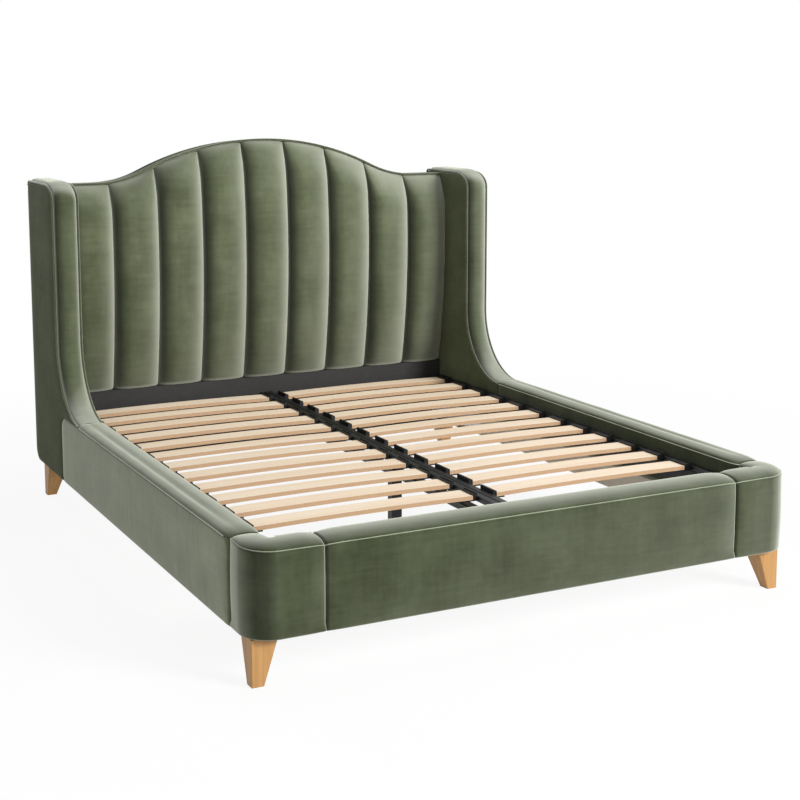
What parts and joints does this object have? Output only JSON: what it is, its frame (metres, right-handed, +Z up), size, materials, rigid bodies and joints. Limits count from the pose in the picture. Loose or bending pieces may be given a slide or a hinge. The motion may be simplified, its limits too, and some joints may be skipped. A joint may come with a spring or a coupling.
{
  "type": "wingback bed",
  "caption": "Upholstered double bed with an arched, channelled headboard, swooping wings, padded low rails, sprung slats on steel tubes and tapered wooden legs.",
  "frame": {"origin": "on the floor at the middle of the bed's length and width", "axes": "+Y from the footboard to the headboard, +X to the right seen from the foot, +Z up"},
  "size_m": [1.82, 2.25, 1.3648],
  "materials": {
    "velvet": "cut velvet, sage green, short pile",
    "velvet_piping": "corded edge in the same velvet",
    "frame_board": "pale laminated chipboard and timber",
    "plywood": "plain birch plywood",
    "softwood": "planed softwood",
    "dark_board": "board with a matt dark grey face",
    "oak": "lacquered natural oak",
    "slat_wood": "glued birch slat, clear lacquer",
    "black_plastic": "moulded polypropylene",
    "black_wood": "black stained batten",
    "black_steel": "black powder coat",
    "zinc_steel": "zinc plated",
    "foot_plastic": "moulded nylon"
  },
  "bodies": {
    "bed": {"bracket_screws": "zinc_steel", "centre_slat_holders": "black_plastic", "corner_brackets": "zinc_steel", "footboard_core": "frame_board", "footboard_cover": "velvet", "frame_end_bars": "black_steel", "headboard_base_board": "dark_board", "headboard_battens": "softwood", "headboard_channel_1": "velvet", "headboard_channel_2": "velvet", "headboard_channel_3": "velvet", "headboard_channel_4": "velvet", "headboard_channel_5": "velvet", "headboard_channel_6": "velvet", "headboard_channel_7": "velvet", "headboard_channel_8": "velvet", "headboard_channel_9": "velvet", "headboard_cover": "velvet", "headboard_panel": "plywood", "headboard_piping": "velvet_piping", "left_foot_leg": "oak", "left_footboard_corner": "velvet", "left_frame_inner_bar": "black_steel", "left_frame_outer_bar": "black_steel", "left_head_leg": "oak", "left_ledger": "black_wood", "left_rail_core": "frame_board", "left_rail_cover": "velvet", "left_slat_holders": "black_plastic", "left_slats": "slat_wood", "left_wing_band": "velvet", "left_wing_core": "frame_board", "left_wing_inner_pad": "velvet", "left_wing_outer_pad": "velvet", "left_wing_piping": "velvet_piping", "leg_bolts": "zinc_steel", "leg_plates": "zinc_steel", "right_foot_leg": "oak", "right_footboard_corner": "velvet", "right_frame_inner_bar": "black_steel", "right_frame_outer_bar": "black_steel", "right_head_leg": "oak", "right_ledger": "black_wood", "right_rail_core": "frame_board", "right_rail_cover": "velvet", "right_slat_holders": "black_plastic", "right_slats": "slat_wood", "right_wing_band": "velvet", "right_wing_core": "frame_board", "right_wing_inner_pad": "velvet", "right_wing_outer_pad": "velvet", "right_wing_piping": "velvet_piping", "support_bar": "black_steel", "support_bar_seats": "black_steel", "support_leg": "black_steel", "support_leg_insert": "foot_plastic", "support_saddles": "black_steel", "wing_bolts": "zinc_steel", "wing_joining_plates": "zinc_steel"},
    "foot": {"levelling_foot": "foot_plastic"}
  },
  "joints": [
    {"name": "foot_height", "type": "slide", "parent": "bed", "child": "foot", "axis": [0, 0, 1], "range_m": [0, 0.015]}
  ]
}
